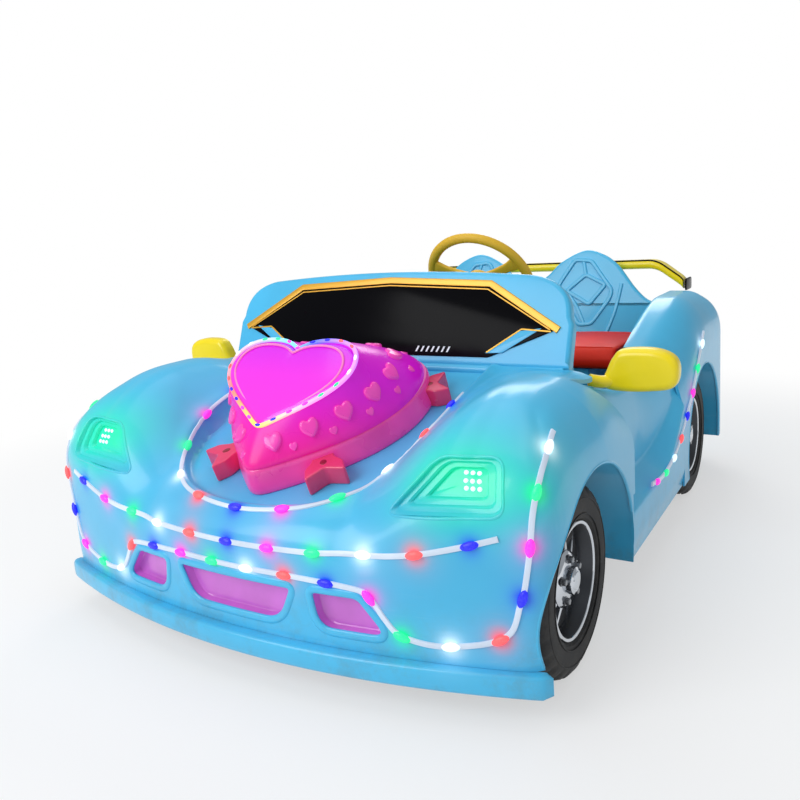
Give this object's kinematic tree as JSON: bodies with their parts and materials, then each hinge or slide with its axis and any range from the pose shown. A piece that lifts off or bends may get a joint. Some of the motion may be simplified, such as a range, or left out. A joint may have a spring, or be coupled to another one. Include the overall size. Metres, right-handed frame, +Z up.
{
  "type": "bumper car",
  "caption": "Two-seat fairground bumper car with open cockpit, bench seat, steering wheel, heart lamp on the hood, light strips, rear wing and spoked wheels.",
  "frame": {"origin": "on the ground at the middle of the overall length and width", "axes": "-Y to the front of the car, +X to its left side, +Z up"},
  "size_m": [1.46, 1.8, 0.8385],
  "materials": {
    "body_blue": "gloss",
    "black_gloss": "gloss",
    "gold_trim": "satin",
    "orchid_gloss": "gloss",
    "lamp_green": "gloss",
    "heart_pink": "gloss",
    "heart_violet": "gloss",
    "light_strip": "satin",
    "wing_yellow": "gloss",
    "steering_yellow": "satin",
    "cushion_red": "satin",
    "frame_black": "satin",
    "steel": "satin",
    "chrome": "polished",
    "tyre_black": "matte",
    "rubber_black": "matte"
  },
  "bodies": {
    "body": {"front_body_shell": "body_blue", "front_lip": "body_blue", "grille_panel": "orchid_gloss", "windscreen_cowl": "body_blue", "windscreen_panel": "black_gloss", "windscreen_trim": "gold_trim", "dashboard": "body_blue", "heart_lamp_base": "heart_pink", "heart_lamp_dome": "heart_violet", "hood_light_strip": "light_strip", "nose_light_strip": "light_strip", "bumper_light_strip": "light_strip", "rear_body_shell": "body_blue", "floor_pan": "frame_black", "seat_base": "body_blue", "seat_cushion": "cushion_red", "seat_back": "body_blue", "rear_spoiler": "wing_yellow", "chassis_frame": "frame_black", "front_axle_beam": "frame_black", "rear_axle": "steel", "drive_motor": "steel", "battery_pack": "frame_black", "steering_column": "frame_black", "foot_pedal": "rubber_black", "headlight_left": "lamp_green", "door_panel_left": "body_blue", "rear_light_strip_left": "light_strip", "mirror_left": "wing_yellow", "headlight_right": "lamp_green", "door_panel_right": "body_blue", "rear_light_strip_right": "light_strip", "mirror_right": "wing_yellow"},
    "knuckle_left": {"knuckle_left": "frame_black"},
    "knuckle_right": {"knuckle_right": "frame_black"},
    "tie_rod": {"tie_rod": "steel"},
    "steering_wheel": {"steering_wheel": "steering_yellow"},
    "wheel_front_left": {"tyre_front_left": "tyre_black", "rim_front_left": "chrome"},
    "wheel_front_right": {"tyre_front_right": "tyre_black", "rim_front_right": "chrome"},
    "wheel_rear_left": {"tyre_rear_left": "tyre_black", "rim_rear_left": "chrome"},
    "wheel_rear_right": {"tyre_rear_right": "tyre_black", "rim_rear_right": "chrome"}
  },
  "joints": [
    {"name": "knuckle_left_steer", "type": "hinge", "parent": "body", "child": "knuckle_left", "pos_m": [0.521, -0.59, 0.185], "axis": [0, 0, 1], "range_deg": [-24, 24]},
    {"name": "knuckle_right_steer", "type": "hinge", "parent": "body", "child": "knuckle_right", "pos_m": [-0.521, -0.59, 0.185], "axis": [0, 0, 1], "range_deg": [-24, 24]},
    {"name": "tie_rod_pivot", "type": "hinge", "parent": "knuckle_left", "child": "tie_rod", "pos_m": [0.521, -0.5, 0.202], "axis": [0, 0, 1], "range_deg": [-24, 24]},
    {"name": "steering_wheel_turn", "type": "hinge", "parent": "body", "child": "steering_wheel", "pos_m": [0.16, -0.015, 0.709], "axis": [0, 0.8339, 0.5519], "range_deg": [-90, 90]},
    {"name": "wheel_front_left_roll", "type": "hinge", "parent": "knuckle_left", "child": "wheel_front_left", "pos_m": [0.579, -0.59, 0.185], "axis": [1, 0, 0], "continuous": true},
    {"name": "wheel_front_right_roll", "type": "hinge", "parent": "knuckle_right", "child": "wheel_front_right", "pos_m": [-0.579, -0.59, 0.185], "axis": [1, 0, 0], "continuous": true},
    {"name": "wheel_rear_left_roll", "type": "hinge", "parent": "body", "child": "wheel_rear_left", "pos_m": [0.579, 0.456, 0.185], "axis": [1, 0, 0], "continuous": true},
    {"name": "wheel_rear_right_roll", "type": "hinge", "parent": "body", "child": "wheel_rear_right", "pos_m": [-0.579, 0.456, 0.185], "axis": [1, 0, 0], "continuous": true}
  ],
  "couplings": [
    {"joint": "knuckle_right_steer", "follows": "knuckle_left_steer", "ratio": 1},
    {"joint": "tie_rod_pivot", "follows": "knuckle_left_steer", "ratio": -1},
    {"joint": "steering_wheel_turn", "follows": "knuckle_left_steer", "ratio": 3.75}
  ]
}
